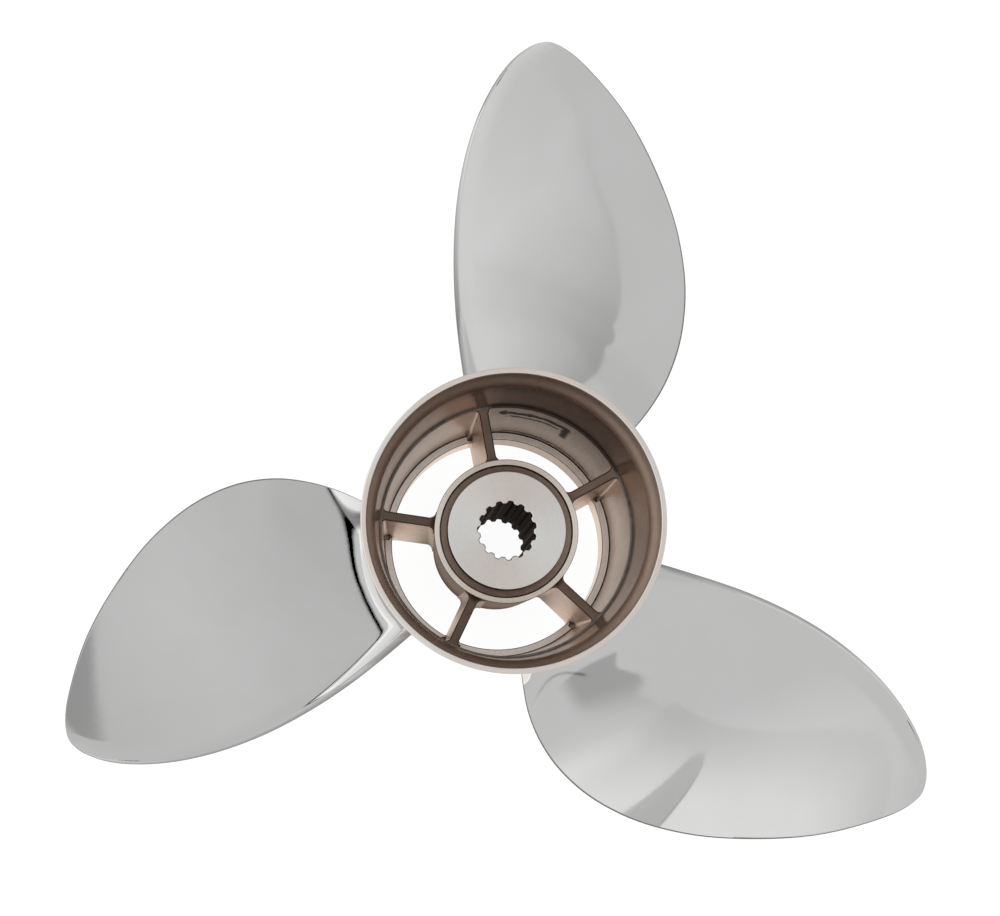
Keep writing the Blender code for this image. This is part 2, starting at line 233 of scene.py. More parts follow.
def rounded_path(corners, spacing=0.004, arc_steps=6, support=0.00012):
    """Closed path of (radius, depth) through corners given as (radius, depth, rounding): each corner becomes an arc
    that touches both sides, and each straight run gets points near its ends and then every few millimetres."""
    pieces = []
    count = len(corners)
    xy = np.array([c[:2] for c in corners])
    starts, ends = [], []
    for i, (x, y, rounding) in enumerate(corners):
        here = np.array([x, y])
        before = xy[i - 1] - here
        after = xy[(i + 1) % count] - here
        before_length, after_length = np.linalg.norm(before), np.linalg.norm(after)
        before, after = before / before_length, after / after_length
        half = math.acos(max(-1.0, min(1.0, float(before @ after)))) / 2
        reach = min(rounding / math.tan(half), 0.45 * before_length, 0.45 * after_length) if rounding else 0.0
        if reach < 1e-7 or abs(math.pi / 2 - half) < 1e-3:
            arc = here[None]
        else:
            t = np.linspace(0.0, 1.0, arc_steps + 1)[:, None]
            radius = reach * math.tan(half)
            centre = here + (before + after) / np.linalg.norm(before + after) * radius / math.sin(half)
            a = here + before * reach - centre
            b = here + after * reach - centre
            sweep = math.pi - 2 * half
            arc = centre + (np.sin((1 - t) * sweep) * a + np.sin(t * sweep) * b) / math.sin(sweep)
        starts.append(arc[0])
        ends.append(arc[-1])
        pieces.append(arc)
    path = []
    for i in range(count):
        path.append(pieces[i])
        a, b = ends[i], starts[(i + 1) % count]
        length = np.linalg.norm(b - a)
        if length > 3 * support:
            inner = max(1, int(round(length / spacing)))
            t = np.concatenate([[support / length], np.arange(1, inner) / inner, [1 - support / length]])
            path.append(a + (b - a) * t[:, None])
    return np.vstack(path)


def turned(name, path, steps=240):
    """Surface of revolution: the path's (radius, depth) turned about the shaft axis in equal steps."""
    angle = np.arange(steps) * 2 * math.pi / steps
    radius = path[:, 0][None]
    x = np.cos(angle)[:, None] * radius
    y = np.sin(angle)[:, None] * radius
    z = np.broadcast_to(RIM_Z - path[:, 1][None], x.shape)
    return grid_mesh(name, np.stack([x, y, z], axis=-1), wrap_rows=True)


def turn_about_axis(points, degrees):
    c, s = math.cos(math.radians(degrees)), math.sin(math.radians(degrees))
    return points @ np.array([[c, s, 0], [-s, c, 0], [0, 0, 1]])


# Walls


def barrel_radius(depth):
    """Outside of the barrel: the nose's radius plus a flare that grows with the square of the way aft."""
    return NOSE_R + (RIM_R - NOSE_R) * (1 - np.clip(depth / BARREL_LENGTH, 0.0, 1.0)) ** 2


def barrel_inner_radius(depth):
    """Inside of the barrel where the struts stand: a slow taper, then the step in to the collar."""
    return np.interp(depth, [LEDGE_DEPTH, COLLAR_DEPTH - COLLAR_BLEND_AFT, COLLAR_DEPTH + COLLAR_BLEND_FORWARD],
                     [LEDGE_INNER_R, COLLAR_WALL_R, COLLAR_BORE_R])


def hub_radius(depth):
    return np.interp(depth, [HUB_DEPTH, HUB_END_DEPTH], [HUB_R, HUB_END_R])


# Blades


def edge_angle(edge, radius):
    """Angle of an edge at a radius, in radians: a cubic between stations, with the slopes of their neighbours. It is
    worked out against the square root of the distance from the tip, so the tip comes out round."""
    radii, angles = map(np.array, zip(*edge[::-1]))
    stations = np.sqrt(TIP_R - radii)
    slopes = np.gradient(angles, stations)
    place = np.sqrt(np.clip(TIP_R - radius, 0.0, TIP_R - radii[-1]))
    i = np.clip(np.searchsorted(stations, place) - 1, 0, len(stations) - 2)
    width = stations[i + 1] - stations[i]
    t = (place - stations[i]) / width
    return np.radians(angles[i] * (2 * t ** 3 - 3 * t ** 2 + 1) + angles[i + 1] * (3 * t ** 2 - 2 * t ** 3)
                      + slopes[i] * width * (t ** 3 - 2 * t ** 2 + t) + slopes[i + 1] * width * (t ** 3 - t ** 2))


def helicoid(radius, angle):
    """Aft face: height rises with the angle by the pitch, and with the radius by the rake, which bends back."""
    reach = radius - RAKE_RADIUS
    ease = np.maximum(RAKE_EASE_RADIUS - radius, 0.0)
    rake = RAKE_SLOPE * reach - RAKE_CURVE * reach ** 2 + RAKE_EASE * ease ** 2
    height = RIM_Z - RAKE_DEPTH + rake + PITCH_PER_RADIAN * angle
    return np.stack([radius * np.cos(angle), radius * np.sin(angle), height], axis=-1)


def helicoid_normal(radius, angle):
    """Unit normal of the helicoid, towards aft, from its two slopes."""
    c, s = np.cos(angle), np.sin(angle)
    rake = RAKE_SLOPE - 2 * RAKE_CURVE * (radius - RAKE_RADIUS)
    rake = rake - 2 * RAKE_EASE * np.maximum(RAKE_EASE_RADIUS - radius, 0.0)
    along = np.stack([c, s, rake], axis=-1)
    around = np.stack([-radius * s, radius * c, np.full_like(c, PITCH_PER_RADIAN)], axis=-1)
    normal = np.cross(along, around)
    return normal / np.linalg.norm(normal, axis=-1, keepdims=True)


def chord_samples():
    """Places along the chord as (share of the chord, extra metres), close together at the round nose and at the
    trailing edge's corners."""
    nose = 1 - np.cos(np.linspace(0.0, math.pi / 2, NOSE_COLUMNS))
    corner = np.sin(np.linspace(0.0, math.pi / 2, TAIL_COLUMNS))
    t = np.linspace(0.0, 1.0, FACE_COLUMNS)[1:-1]
    middle = t - CROWDING * np.sin(2 * math.pi * t)
    share = np.concatenate([np.zeros(len(nose)), middle, np.ones(len(corner))])
    tail = -EDGE_TIP_THICKNESS * TAIL_LENGTH * (1 - corner)
    return share, np.concatenate([NOSE_THICKNESS * NOSE_LENGTH * nose, np.zeros(len(middle)), tail])


def blade_surface():
    """Blade standing on +X. A section is a closed loop in the chord's own (along, across) plane: a straight face
    line with a cup at its end, a back line one thickness behind it, a round nose and a squared trailing edge. Near
    the root the loop grows outwards by the fillet, F (1 - sin a), while its height over the barrel is
    F (1 - cos a). Also returns each point's painted shade, from 0 to 1: a dark line on the round nose and the
    trailing edge's back corner that stands in for dark reflections there."""
    share, extra = chord_samples()
    arc = np.linspace(0.0, math.pi / 2, ARC_ROWS)
    outward = 1 - (1 - np.linspace(0.0, 1.0, BLADE_ROWS)[1:]) ** 2
    rows = 2 + len(arc) + len(outward)
    side = np.concatenate([np.ones(len(share)), -np.ones(len(share) - 1)])
    order = np.concatenate([np.arange(len(share)), np.arange(len(share) - 1, 0, -1)])
    share, extra = share[order], extra[order]
    columns = len(side)

    def section(radius):
        """Loop's (along, across) in metres at a radius, and its outward normals."""
        lead = edge_angle(LEADING_EDGE, radius)
        trail = edge_angle(TRAILING_EDGE, radius)
        chord = (trail - lead) * np.sqrt(radius ** 2 + PITCH_PER_RADIAN ** 2)
        squeeze = np.minimum(1.0, chord / SHORT_CHORD)
        along = share * chord + extra * squeeze
        c = np.clip(along / np.maximum(chord, 1e-6), 0.0, 1.0)
        out = np.clip((radius - TAPER_START_R) / (TIP_R - TAPER_START_R), 0.0, 1.0)
        middle = ROOT_THICKNESS + (TIP_THICKNESS - ROOT_THICKNESS) * out ** THICKNESS_POWER
        trailing = EDGE_ROOT_THICKNESS + (EDGE_TIP_THICKNESS - EDGE_ROOT_THICKNESS) * out
        thickness = NOSE_THICKNESS + (trailing - NOSE_THICKNESS) * c
        thickness = thickness + (middle - (NOSE_THICKNESS + trailing) / 2) * 4 * c * (1 - c)
        thickness = thickness * squeeze ** 0.5
        nose = NOSE_THICKNESS * NOSE_LENGTH * squeeze
        corner = EDGE_TIP_THICKNESS * TAIL_LENGTH * squeeze
        from_nose = np.clip(1 - along / np.maximum(nose, 1e-7), 0.0, 1.0)
        from_tail = np.clip(1 - (chord - along) / np.maximum(corner, 1e-7), 0.0, 1.0)
        fullness = np.sqrt(1 - from_nose ** 2) * (1 - TAIL_DROP * (1 - np.sqrt(1 - from_tail ** 2)))
        cup_width = np.minimum(CUP_WIDTH, 0.5 * chord)
        cup = CUP_HEIGHT * squeeze * np.clip(1 - (chord - along) / np.maximum(cup_width, 1e-6), 0.0, 1.0) ** 2
        centre = cup - thickness / 2
        across = centre + side * thickness / 2 * fullness
        return lead, chord, along, across

    def loop_normals(along, across):
        """Outward normals of the loop, from the points on both sides of each."""
        da = np.roll(along, -1, axis=-1) - np.roll(along, 1, axis=-1)
        dn = np.roll(across, -1, axis=-1) - np.roll(across, 1, axis=-1)
        length = np.maximum(np.hypot(da, dn), 1e-12)
        return -dn / length, da / length

    # the fillet's size and direction at each column
    _, _, along, across = section(np.full(columns, FILLET_R))
    q_along, q_across = loop_normals(along, across)
    fillet = EDGE_FILLET + (FILLET - EDGE_FILLET) * np.sqrt(4 * share * (1 - share))

    height = np.empty((rows, columns))
    grow = np.zeros((rows, columns))
    height[0], height[1] = -ROOT_SINK, -SHALLOW_SINK
    grow[0] = grow[1] = fillet
    height[2:2 + len(arc)] = fillet * (1 - np.cos(arc))[:, None] - FOOT_SINK
    grow[2:2 + len(arc)] = fillet * (1 - np.sin(arc))[:, None]
    reach = TIP_R - TIP_GAP - ROOT_R
    height[2 + len(arc):] = fillet + (reach - fillet) * outward[:, None]

    # each pass moves the rows nearer to the height they should have over the barrel's wall, less so further out
    level = np.clip(height / ROOT_BLEND, 0.0, 1.0)
    level = level * level * (3 - 2 * level)
    radius = ROOT_R + height
    for _ in range(WALL_PASSES):
        lead, chord, along, across = section(radius)
        s = along + grow * q_along
        n = across + grow * q_across
        angle = lead + s / np.sqrt(radius ** 2 + PITCH_PER_RADIAN ** 2)
        points = helicoid(radius, angle) + helicoid_normal(radius, angle) * n[..., None]
        wall = barrel_radius(RIM_Z - points[..., 2]) + height
        miss = wall - np.hypot(points[..., 0], points[..., 1])
        step = WALL_STEP * miss * (1 - level) + WALL_STEP * (ROOT_R + height - radius) * level
        radius = np.where(level < 1, radius + step, radius)

    # rings that close the root, each nearer to its middle line, on the barrel's wall
    root = points[0]
    middle = (root + root[-np.arange(columns) % columns]) / 2
    rings = root + (middle - root) * np.linspace(0.94, 0.1, CLOSING_ROWS)[:, None, None]
    wall = barrel_radius(RIM_Z - rings[..., 2]) - ROOT_SINK
    rings[..., :2] *= (wall / np.hypot(rings[..., 0], rings[..., 1]))[..., None]
    # painted shade: a dark line on the round nose, and a lighter one on the trailing edge's back corner, standing in
    # for dark reflections in those edges
    edge_shade = np.where(share == 0, 1.0, 0.0)
    edge_shade[(share == 1) & (side < 0)] = EDGE_SHADE_TAIL
    edge_shade = np.append(np.tile(edge_shade[::-1], len(rings) + rows), 1.0)
    return np.concatenate([rings, points])[:, ::-1], edge_shade.astype(np.float32)


def blade(number, points, edge_shade):
    turned_points = turn_about_axis(points, BLADE_ANGLES[number - 1])
    piece = grid_mesh(f"polished_blade_{number}", turned_points, caps=((0, "strip"), (-1, "fan")))
    piece.data.attributes.new("edge", "FLOAT", "POINT").data.foreach_set("value", edge_shade)
    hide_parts(f"blade_{number}")
    return piece


# Barrel


def aft_ring():
    """Flared ring at the aft end, with a rounded rim. Inside, a quarter of its taper is straight, and the rest falls
    with the way from its forward end to the power 1.7, so it runs smoothly into the barrel's wall."""
    depth = np.linspace(SOFT_EDGE, RING_END_DEPTH, 7)
    outside = [(barrel_radius(d), d, 0.0) for d in depth]
    share = np.linspace(1.0, 0.0, 12)
    fall = STRAIGHT_TAPER * (1 - share) + (1 - STRAIGHT_TAPER) * (1 - share) ** TAPER_POWER
    taper = STEP_INNER_R + (RIM_INNER_R - STEP_INNER_R) * fall
    inside = [(r, RING_END_DEPTH * t, 0.0) for r, t in zip(taper, share)]
    rim = [(RIM_R - RIM_FIT, 0.0, RIM_ROUNDING)]
    path = rounded_path(rim + outside[1:] + inside[:-1] + [(RIM_INNER_R, 0.0, EDGE)])
    piece = turned("aft_ring", path)
    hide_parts("diffuser_ring")
    return piece


def barrel():
    """Outer tube: flared outside, and inside a drafted wall, a ledge at the struts and a collar at the nose."""
    depth = np.linspace(RING_END_DEPTH, BARREL_LENGTH - NOSE_EDGE, 26)
    outside = [(float(barrel_radius(d)), float(d), 0.0) for d in depth]
    inside = [
        (NOSE_R, BARREL_LENGTH, EDGE),
        (COLLAR_BORE_R, BARREL_LENGTH, ROUND_EDGE),
        (COLLAR_BORE_R, COLLAR_DEPTH, FINE_EDGE),
        (COLLAR_WALL_R, COLLAR_DEPTH, EDGE),
        (LEDGE_INNER_R, LEDGE_DEPTH, FINE_EDGE),
        (LEDGE_INNER_R + LEDGE_WIDTH, LEDGE_DEPTH, CORNER),
        (STEP_INNER_R, RING_END_DEPTH, 0.0),
    ]
    piece = turned("barrel", rounded_path(outside + inside))
    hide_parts("exhaust_barrel")
    return piece


def strut_surface():
    """Web standing on +X. Its section is a long rounded slab, from its aft edge to its forward one. Half its width is
    half the waist, plus the draft's share, plus a fillet F - sqrt(F^2 - (F - x)^2) at each end, x being the way from
    that end's wall. The ends follow the hub's wall and the barrel's, and run a little into them."""
    corner = np.linspace(0.0, math.pi / 2, 6)
    # one side from the forward face to the aft one, then the other back, as (share, metres from that end, inset)
    from_end = np.concatenate([[0.0], STRUT_EDGE * (1 - np.cos(corner))])
    inset = np.concatenate([[STRUT_EDGE * STRUT_FACE_INSET], STRUT_EDGE * (1 - np.sin(corner))])
    side = np.linspace(0.0, 1.0, 34)[1:-1]
    share = np.concatenate([np.zeros(len(from_end)), side, np.ones(len(from_end))])
    from_end = np.concatenate([from_end, np.zeros(len(side)), from_end[::-1]])
    inset = np.concatenate([inset, np.zeros(len(side)), inset[::-1]])
    sign = np.repeat([1.0, -1.0], len(share))
    share = 1 - np.concatenate([share, share[::-1]])
    from_end = np.concatenate([from_end, from_end[::-1]])
    inset = np.concatenate([inset, inset[::-1]])

    ends = 1 - np.cos(np.linspace(0.0, math.pi / 2, 14))
    u = np.concatenate([[-STRUT_HUB_SINK], ends * STRUT_HUB_FILLET])[:, None]
    v = np.concatenate([[-STRUT_WALL_SINK], ends * STRUT_WALL_FILLET])[::-1, None]
    middle = np.linspace(0.0, 1.0, 8)[1:-1, None]

    # a few passes, because where the ends stand depends on their depth, and the aft edge's depth on where they stand
    slope = STRUT_HUB_DEPTH - STRUT_WALL_DEPTH
    x_share = np.linspace(0.0, 1.0, len(u) + len(middle) + len(v))[:, None]
    aft = STRUT_HUB_DEPTH - slope * x_share
    for _ in range(3):
        depth = (1 - share) * (aft + from_end) + share * (STRUT_END_DEPTH - from_end)
        hub = hub_radius(depth)
        wall = barrel_inner_radius(depth)
        near = hub[:len(u)] + u
        far = wall[-len(v):] - v
        inner, outer = near[-1], far[0]
        between = inner + (outer - inner) * middle
        x = np.vstack([near, between, far])
        aft = STRUT_HUB_DEPTH - slope * np.clip((x - hub) / (wall - hub), 0.0, 1.0)
    from_hub = np.clip(x - hub, 0.0, STRUT_HUB_FILLET)
    from_wall = np.clip(wall - x, 0.0, STRUT_WALL_FILLET)
    fillets = STRUT_HUB_FILLET - np.sqrt(STRUT_HUB_FILLET ** 2 - (STRUT_HUB_FILLET - from_hub) ** 2)
    fillets = fillets + STRUT_WALL_FILLET - np.sqrt(STRUT_WALL_FILLET ** 2 - (STRUT_WALL_FILLET - from_wall) ** 2)
    half = (STRUT_WAIST + STRUT_DRAFT * share) / 2 + fillets
    y = sign * (half - inset)
    return np.stack([x, y, RIM_Z - depth], axis=-1)


def strut(number, points):
    angle = STRUT_ANGLE + (number - 1) * 360.0 / STRUT_COUNT
    piece = grid_mesh(f"web_{number}", turn_about_axis(points, angle), caps=((0, "fan"), (-1, "fan")))
    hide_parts(f"strut_{number}")
    return piece


def hub_tube():
    """Inner tube with a flat end ring and a taper towards the nose."""
    piece = turned("hub_tube", rounded_path([
        (HUB_R, HUB_DEPTH, FINE_EDGE),
        (HUB_END_R, HUB_END_DEPTH, HUB_END_EDGE),
        (HUB_END_INNER_R, HUB_END_DEPTH, EDGE),
        (HUB_INNER_R, HUB_DEPTH, FINE_EDGE),
    ]))
    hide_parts("inner_hub")
    return piece


def bush():
    """Rubber between the hub tube and the sleeve."""
    wall = np.interp([BUSH_DEPTH, BUSH_END_DEPTH], [HUB_DEPTH, HUB_END_DEPTH], [HUB_INNER_R, HUB_END_INNER_R])
    piece = turned("drive_bush", rounded_path([
        (wall[0] - BUSH_GAP, BUSH_DEPTH, FINE_EDGE),
        (wall[1] - BUSH_GAP, BUSH_END_DEPTH, SOFT_EDGE),
        (SLEEVE_R + BUSH_GAP, BUSH_END_DEPTH, SOFT_EDGE),
        (SLEEVE_R + BUSH_GAP, BUSH_DEPTH, FINE_EDGE),
    ]))
    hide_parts("rubber_bush")
    return piece


def spline_radius(angle):
    """Bore radius round the shaft: fifteen grooves with sloping flanks, flat at both ends of the wave."""
    phase = (angle - math.radians(SPLINE_ANGLE)) * SPLINE_TEETH
    wave = np.clip(TOOTH_WIDTH * np.cos(phase), -1.0, 1.0)
    smooth = wave * (1.5 - 0.5 * wave * wave)
    return (SPLINE_ROOT_R + SPLINE_TIP_R) / 2 + (SPLINE_ROOT_R - SPLINE_TIP_R) / 2 * smooth


def sleeve():
    """Flange, body and splined bore as one closed surface: the outside turned, the bore following the splines and
    opening into the thrust cone at the nose."""
    steps = SPLINE_TEETH * TOOTH_STEPS
    angle = np.arange(steps) * 2 * math.pi / steps
    outside = rounded_path([
        (FLANGE_R - SOFT_EDGE, FLANGE_DEPTH, 0.0),
        (FLANGE_R, FLANGE_DEPTH, EDGE),
        (FLANGE_R, FLANGE_DEPTH + FLANGE_THICKNESS, EDGE),
        (SLEEVE_R, FLANGE_DEPTH + FLANGE_THICKNESS, SOFT_EDGE),
        (SLEEVE_R, SLEEVE_END_DEPTH, EDGE),
        (SEAT_R, SLEEVE_END_DEPTH, CORNER),
        (SPLINE_ROOT_R + SEAT_STEP, SEAT_DEPTH + SEAT_RUN + BORE_BEVEL, 0.0),
    ])[:-2]
    straight = np.linspace(SEAT_DEPTH + SEAT_RUN, FLANGE_DEPTH + SOFT_EDGE, 24)
    arc = np.linspace(0.1, math.pi / 2, 5)
    bore_depth = np.concatenate([straight, FLANGE_DEPTH + BORE_BEVEL * (1 - np.sin(arc))])
    bevel = np.concatenate([np.zeros(len(straight)), BORE_BEVEL * (1 - np.cos(arc))])
    bore = spline_radius(angle)[:, None] + bevel[None]
    rim = bore[:, -1:]
    share = np.linspace(0.0, 1.0, 18)[1:-1] ** FACE_CROWDING
    face = rim + (FLANGE_R - SOFT_EDGE - rim) * share[None]
    radius = np.concatenate([np.broadcast_to(outside[:, 0], (steps, len(outside))), bore, face], axis=1)
    depth = np.concatenate([outside[:, 1], bore_depth, np.full(len(share), FLANGE_DEPTH)])
    points = np.stack([np.cos(angle)[:, None] * radius, np.sin(angle)[:, None] * radius,
                       np.broadcast_to(RIM_Z - depth, radius.shape)], axis=-1)
    piece = grid_mesh("drive_sleeve", points, wrap_rows=True)
    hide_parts("splined_sleeve")
    return piece


# Materials


class Value:
    """A number that changes over a surface: wraps a socket, and the usual operators add Math nodes."""

    def __init__(self, paint, socket):
        self.paint = paint
        self.socket = socket

    def math(self, operation, *others):
        return self.paint.node("ShaderNodeMath", {"operation": operation}, self, *others)

    def __add__(self, other):
        return self.math("ADD", other)

    __radd__ = __add__

    def __sub__(self, other):
        return self.math("SUBTRACT", other)

    def __rsub__(self, other):
        return self.paint.node("ShaderNodeMath", {"operation": "SUBTRACT"}, other, self)

    def __mul__(self, other):
        return self.math("MULTIPLY", other)

    __rmul__ = __mul__

    def smooth(self, start, stop):
        """0 before start and 1 after stop, with a smooth step between; start may be the larger one."""
        return self.paint.node("ShaderNodeMapRange", {"interpolation_type": "SMOOTHSTEP"}, self, start, stop)

    def band(self, start, stop, soft):
        """1 between start and stop, with soft sides that wide."""
        return self.smooth(start - soft / 2, start + soft / 2) * self.smooth(stop + soft / 2, stop - soft / 2)

    def line(self, place, width):
        """1 on a thin line at a place, 0 beyond its width on both sides."""
        return (self - place).math("ABSOLUTE").smooth(width, 0.0)

    def curve(self, *points):
        """Smooth curve through points given as (value in, value out), level beyond its two ends."""
        low, high = np.min(points, axis=0), np.max(points, axis=0)
        stops = [((x - low[0]) / (high[0] - low[0]), (y - low[1]) / (high[1] - low[1])) for x, y in points]
        share = (self - low[0]) * (1 / (high[0] - low[0]))
        return self.paint.node("ShaderNodeFloatCurve", {"stops": stops}, Value=share) * (high[1] - low[1]) + low[1]


class Paint:
    """A Principled material and its nodes. Lengths on the surface are in millimetres."""

    def __init__(self, name, colour, roughness, metallic=1.0):
        self.material = bpy.data.materials.new(name)
        self.material.use_nodes = True
        self.tree = self.material.node_tree
        self.shader = self.tree.nodes["Principled BSDF"]
        self.shader.inputs["Base Color"].default_value = (*colour, 1.0)
        self.shader.inputs["Roughness"].default_value = roughness
        self.shader.inputs["Metallic"].default_value = metallic

    def node(self, kind, settings=None, *inputs, output=0, **named):
        """Add a node: its settings first, with a curve's stops among them, then its sockets by place or by name.
        Returns one output as a Value."""
        node = self.tree.nodes.new(kind)
        for key, value in (settings or {}).items():
            if key == "stops":
                points = node.mapping.curves[0].points
                points[0].location, points[1].location = value[0], value[-1]
                for stop in value[1:-1]:
                    points.new(*stop)
                node.mapping.update()
            else:
                setattr(node, key, value)
        for key, value in list(enumerate(inputs)) + [(k.replace("_", " "), v) for k, v in named.items()]:
            if isinstance(value, Value):
                self.tree.links.new(value.socket, node.inputs[key])
            elif value is not None:
                node.inputs[key].default_value = value
        return Value(self, node.outputs[output])

    def feed(self, socket, value):
        self.tree.links.new(value.socket, self.shader.inputs[socket])

    def place(self):
        """Object coordinates in millimetres."""
        return self.node("ShaderNodeVectorMath", {"operation": "SCALE"}, self.node("ShaderNodeTexCoord", output=3),
                         Scale=MM)

    def split(self, vector):
        node = self.node("ShaderNodeSeparateXYZ", None, vector).socket.node
        return [Value(self, node.outputs[k]) for k in range(3)]

    def around(self):
        """Azimuth in degrees, depth forward from the aft rim and radius, both in millimetres."""
        x, y, z = self.split(self.place())
        return y.math("ARCTAN2", x) * (180 / math.pi), RIM_Z * MM - z, (x * x + y * y).math("SQRT")

    def noise(self, size, stretch=(1.0, 1.0, 1.0), detail=3.0, rough=0.55):
        """Noise whose patches are about size millimetres, pulled out along an axis where its stretch is over 1."""
        place = self.node("ShaderNodeVectorMath", {"operation": "DIVIDE"}, self.place(), tuple(stretch))
        return self.node("ShaderNodeTexNoise", None, Vector=place, Scale=1.0 / size, Detail=detail, Roughness=rough)

    def mix(self, factor, first, second):
        """Colour that goes from first to second; each is three numbers or a Value."""
        ends = [(*end, 1.0) if isinstance(end, tuple) else end for end in (first, second)]
        unused = [None] * 5      # the node's sockets for numbers and vectors
        return self.node("ShaderNodeMix", {"data_type": "RGBA"}, factor, *unused, *ends, output=2)

    def bump(self, height, depth):
        """Relief: height from 0 to 1 stands for that many millimetres."""
        self.feed("Normal", self.node("ShaderNodeBump", None, Strength=1.0, Distance=depth / MM, Height=height))


def inside_barrel(paint):
    """1 on the inside of the barrel and the ring, 0 on the polished outside."""
    _, depth, radius = paint.around()
    aft = (1 - depth * (1 / (MM * BARREL_LENGTH))).math("MAXIMUM", 0.0)
    outside = MM * NOSE_R + MM * (RIM_R - NOSE_R) * aft * aft
    return (outside - radius).smooth(0.9, 1.3)


def mirror_steel():
    """Buffed stainless steel: nearly a mirror, with faint polishing haze, hair scratches and soft waves. A blade's
    edges carry a painted dark line that stands in for dark reflections, and are rougher."""
    paint = Paint("mirror_steel", MIRROR, 0.05)
    haze = paint.noise(26.0, detail=5.0)
    hair = paint.noise(1.1, (1.0, 14.0, 14.0), detail=2.0)
    edge_shade = paint.node("ShaderNodeAttribute", {"attribute_name": "edge"}, output=2)
    paint.feed("Roughness", 0.03 + haze * 0.035 + hair * 0.012 + edge_shade * 0.15)
    buffed = paint.mix(haze.smooth(0.35, 0.7), MIRROR, (0.82, 0.818, 0.81))
    # painted shade: the edges' dark line, standing in for dark reflections
    paint.feed("Base Color", paint.mix(edge_shade * 0.9, buffed, (0.22, 0.20, 0.19)))
    paint.bump(hair * 0.02 + paint.noise(22.0) * 0.98, 0.014)
    return paint.material


def side_light(azimuth, mean, once, twice):
    """Tone that is stronger to the right and the left of the axis than above and below it: the mean, plus one share
    of the azimuth's cosine and another of the cosine of twice the azimuth."""
    turn = azimuth * (math.pi / 180)
    return mean + turn.math("COSINE") * once + (turn * 2).math("COSINE") * twice


def cast_marks(paint, azimuth, depth):
    """Dark jagged marks that the core left in the wall up to the right: a bar with two legs, and a line below it."""
    jag = paint.noise(1.6, detail=4.0) - 0.5
    drift = paint.noise(7.0) - 0.5
    across = azimuth + jag * 5
    down = depth + jag * 3 + drift * 8
    bar = across.band(57, 92, 2) * down.band(59.0, 63.5, 1.5)
    second = across.band(63, 87, 3) * down.band(67, 70, 2) * 0.6
    left = across.band(57.5, 60.5, 1.5) * down.band(60, 80, 8)
    right = across.band(88.5, 91, 1.5) * down.band(56, 66, 4)
    under = (azimuth + jag * 8).band(38, 88, 6) * (depth + drift * 3).line(104.2, 1.8)
    return (bar + second + left + right + under).math("MINIMUM", 1.0)


def brown_steel():
    """Barrel: the outside is buffed. The inside is cast and browned by hot exhaust, with streaks along the flow and
    blotches, and dark cast marks. Painted shade darkens it up to the right and near the aft rim, painted light
    brightens the collar's shelf, and painted shade lines lie in the corners at the ledge and the collar."""
    paint = Paint("brown_steel", (0.42, 0.35, 0.31), 0.34)
    azimuth, depth, _ = paint.around()
    inside = inside_barrel(paint)
    streaks = paint.noise(1.6, (1.0, 1.0, 14.0), detail=4.0)
    blotches = paint.noise(9.0, detail=5.0)
    aft_part = depth.smooth(52, 48)
    tone = 0.40 + streaks * 0.30 + blotches * 0.34
    # painted shade: a dark reflection up to the right, strongest aft of the ledge
    tone = tone - azimuth.band(30, 96, 14) * (aft_part * 0.30 + 0.12)
    # painted shade: darker towards the aft rim, most above and below, least to the right
    tone = tone - depth.smooth(26, 13) * side_light(azimuth, 0.16, -0.05, -0.10)
    shelf = depth.smooth(104.0, 109.5) * depth.smooth(128.0, 126.0)
    # painted light: the collar's shelf made lighter, as if lit from above
    tone = tone + shelf * 0.30
    # painted shade: dark lines in the corners at the ledge and the collar, on top of the real cast marks; the same
    # mask makes those places dull and not metallic
    marks_and_corner_shade = cast_marks(paint, azimuth, depth) + depth.line(49.2, 0.5) * 0.8 + depth.line(109.7, 0.4) * 0.3
    marks_and_corner_shade = inside * marks_and_corner_shade.math("MINIMUM", 1.0)
    browned_and_shaded = paint.mix((tone - marks_and_corner_shade).math("MAXIMUM", 0.0), (0.06, 0.042, 0.034), (0.85, 0.77, 0.71))
    paint.feed("Base Color", paint.mix(inside, MIRROR, browned_and_shaded))
    paint.feed("Metallic", 1 - marks_and_corner_shade)
    paint.feed("Roughness", 0.06 + inside * (0.12 + blotches * 0.12 - shelf * 0.04) + marks_and_corner_shade * 0.3)
    paint.bump(inside * (1 - shelf) * (streaks * 0.4 + blotches * 0.6), 0.10)
    paint.shader.inputs["Specular Tint"].default_value = (0.82, 0.74, 0.69, 1.0)
    return paint.material


def web_steel():
    """Webs: as cast and brown, darker on their aft edges, with a darker outline there."""
    paint = Paint("web_steel", (0.40, 0.33, 0.29), 0.36)
    _, depth, radius = paint.around()
    blotches = paint.noise(6.0, detail=3.0)
    aft_edge = STRUT_HUB_DEPTH * MM - (radius - HUB_R * MM) * WEB_SLOPE
    aft = (depth - aft_edge).smooth(1.0, 0.4)
    outline = (depth - aft_edge).line(0.75, 0.5)
    side_colour = paint.mix(blotches, (0.52, 0.435, 0.38), (0.86, 0.78, 0.71))
    aft_colour = paint.mix(blotches, (0.115, 0.080, 0.060), (0.20, 0.145, 0.115))
    paint.feed("Base Color", paint.mix(outline * 0.8, paint.mix(aft, side_colour, aft_colour), (0.04, 0.026, 0.02)))
    paint.feed("Roughness", 0.22 + blotches * 0.14)
    paint.bump(blotches, 0.05)
    paint.shader.inputs["Specular Tint"].default_value = (0.80, 0.70, 0.64, 1.0)
    return paint.material


